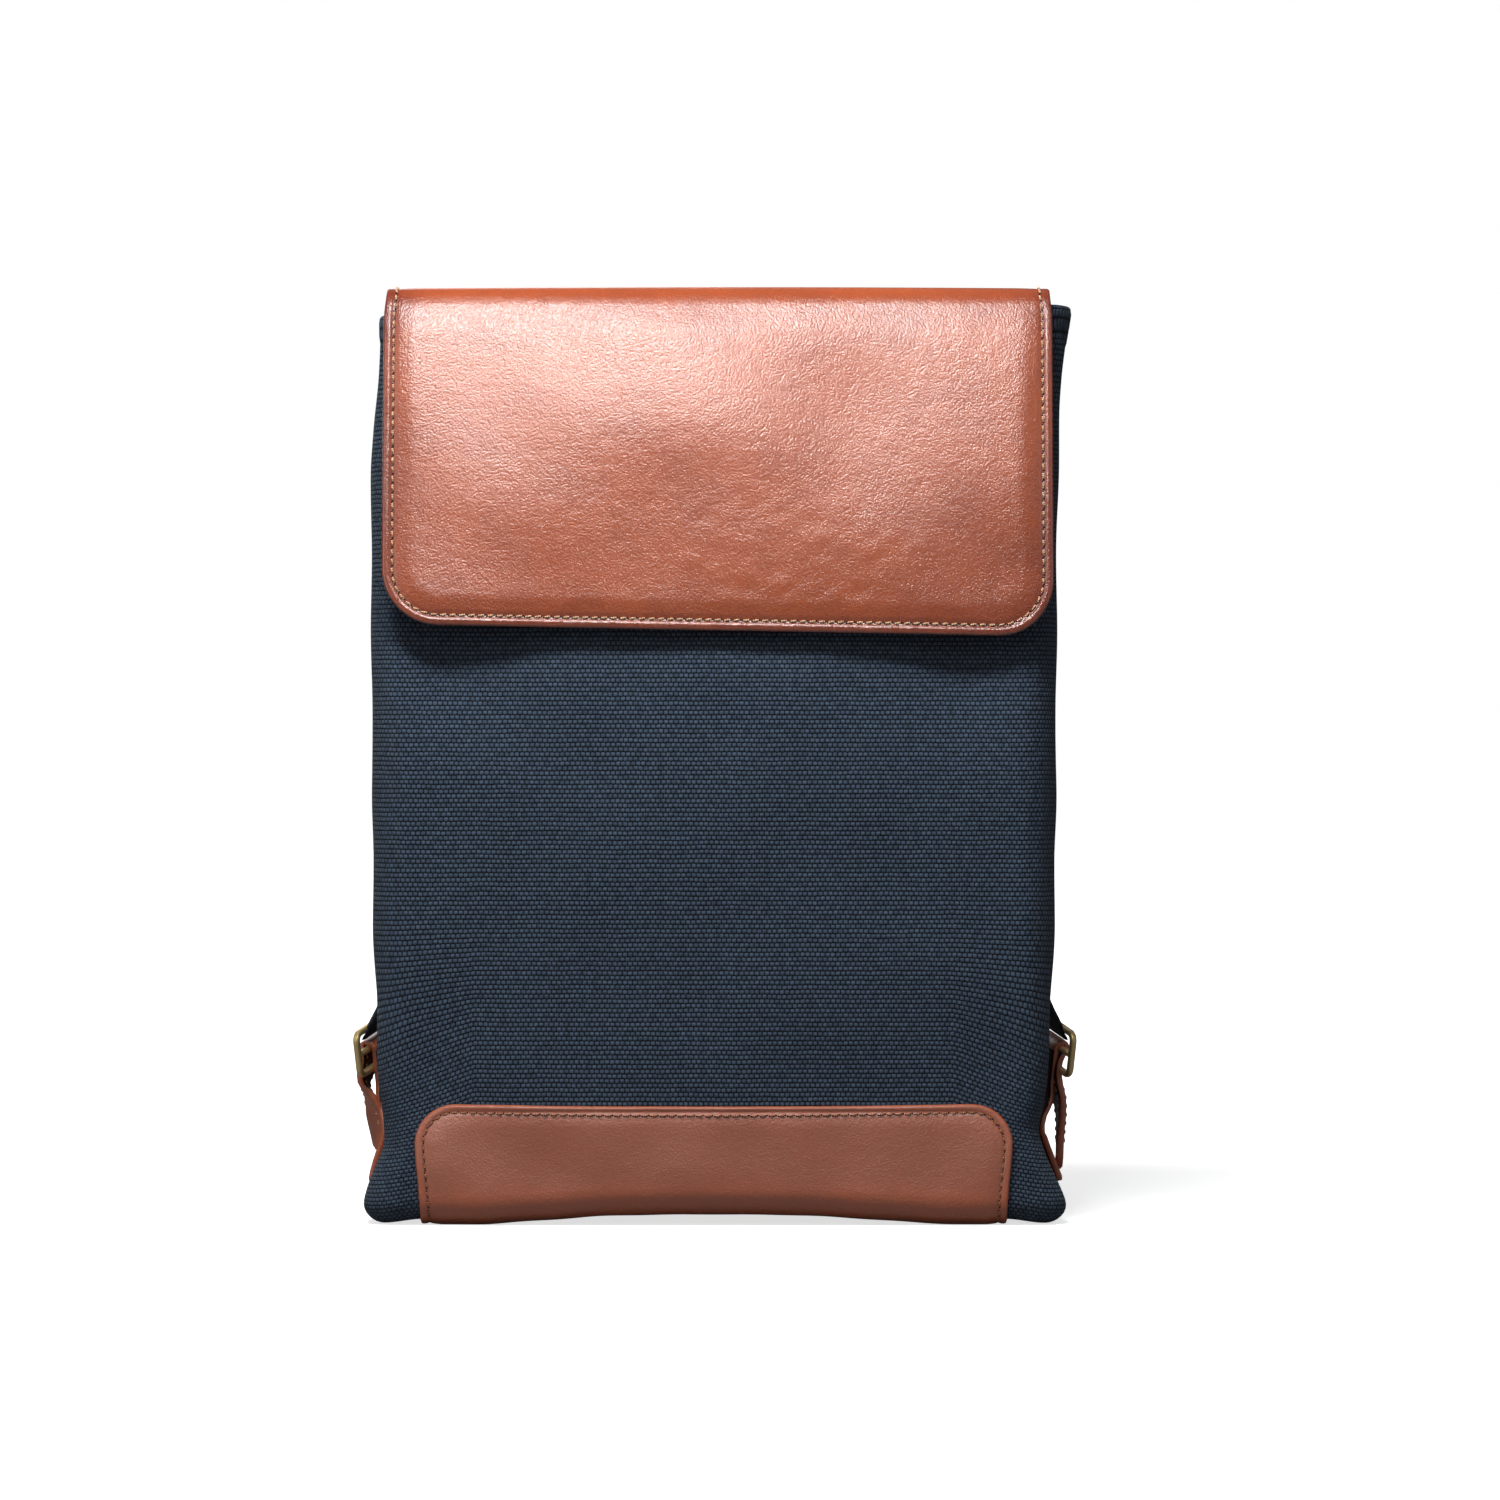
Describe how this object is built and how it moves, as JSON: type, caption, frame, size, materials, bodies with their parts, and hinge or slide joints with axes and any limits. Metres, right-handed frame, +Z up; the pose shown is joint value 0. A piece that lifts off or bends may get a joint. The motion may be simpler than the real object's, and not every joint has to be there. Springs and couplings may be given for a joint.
{
  "type": "backpack",
  "caption": "Slim flap-top backpack in heavy canvas and leather, with padded shoulder straps, brass strap slides, a laptop sleeve and a leather base patch.",
  "frame": {"origin": "middle of the base's resting face, at half the width of the bag and half the depth of its base", "axes": "+Z up to the flap's crown, the flap and front face -Y, the shoulder straps are at +Y, +X is to the right of someone looking at the front"},
  "size_m": [0.3262, 0.1103, 0.409],
  "materials": {
    "canvas": "heavy navy basket-weave canvas, matt",
    "leather": "smooth cognac full-grain leather, semi-gloss, stitched edges",
    "suede": "soft split-leather flap lining, matt",
    "lining": "plain cotton lining, matt",
    "strap_canvas": "navy canvas strap face, matt",
    "strap_pad": "padded spacer mesh, matt",
    "foam": "closed-cell foam",
    "board": "stiffener board",
    "brass": "satin brass",
    "magnet": "nickel-plated magnet disc"
  },
  "bodies": {
    "bag": {"front_panel": "canvas", "back_panel": "canvas", "base_panel": "canvas", "gusset_left": "canvas", "gusset_right": "canvas", "back_padding": "foam", "base_board": "board", "lining": "lining", "mouth_facing": "leather", "laptop_divider": "lining", "slip_pocket": "lining", "base_patch": "leather", "corner_patch_left": "leather", "corner_patch_right": "leather", "flap_yoke": "leather", "bag_magnet_left": "magnet", "bag_magnet_right": "magnet"},
    "flap_crown": {"flap_crown": "leather", "flap_crown_lining": "suede"},
    "flap_front": {"flap_front": "leather", "flap_stiffener": "board", "flap_lining": "suede", "flap_magnet_left": "magnet", "flap_magnet_right": "magnet"},
    "haul_loop": {"haul_loop": "leather"},
    "strap_left": {"shoulder_strap_left": "strap_canvas", "shoulder_pad_left": "strap_pad", "strap_end_left": "strap_canvas", "slide_frame_left": "brass", "slide_bar_left": "brass", "lower_strap_left": "leather"},
    "tail_left": {"strap_tail_left": "leather"},
    "strap_right": {"shoulder_strap_right": "strap_canvas", "shoulder_pad_right": "strap_pad", "strap_end_right": "strap_canvas", "slide_frame_right": "brass", "slide_bar_right": "brass", "lower_strap_right": "leather"},
    "tail_right": {"strap_tail_right": "leather"}
  },
  "joints": [
    {"name": "flap_crown_hinge", "type": "hinge", "parent": "bag", "child": "flap_crown", "pos_m": [0, 0.0431, 0.4079], "axis": [-1, 0, 0], "range_deg": [0, 160]},
    {"name": "flap_front_hinge", "type": "hinge", "parent": "flap_crown", "child": "flap_front", "pos_m": [0, -0.01128, 0.4079], "axis": [-1, 0, 0], "range_deg": [0, 110]},
    {"name": "haul_loop_swing", "type": "hinge", "parent": "bag", "child": "haul_loop", "pos_m": [0, 0.0455, 0.3335], "axis": [1, 0, 0], "range_deg": [0, 140]},
    {"name": "strap_swing_left", "type": "hinge", "parent": "bag", "child": "strap_left", "pos_m": [-0.094, 0.0472, 0.3335], "axis": [0.1766, 0.013, 0.9842], "range_deg": [0, 20]},
    {"name": "tail_swing_left", "type": "hinge", "parent": "strap_left", "child": "tail_left", "pos_m": [-0.154, 0.043, 0.073], "axis": [0.3635, 0.8996, 0.2419], "range_deg": [0, 80]},
    {"name": "strap_swing_right", "type": "hinge", "parent": "bag", "child": "strap_right", "pos_m": [0.094, 0.0472, 0.3335], "axis": [0.1766, -0.013, -0.9842], "range_deg": [0, 20]},
    {"name": "tail_swing_right", "type": "hinge", "parent": "strap_right", "child": "tail_right", "pos_m": [0.154, 0.043, 0.073], "axis": [0.3635, -0.8996, -0.2419], "range_deg": [0, 80]}
  ]
}
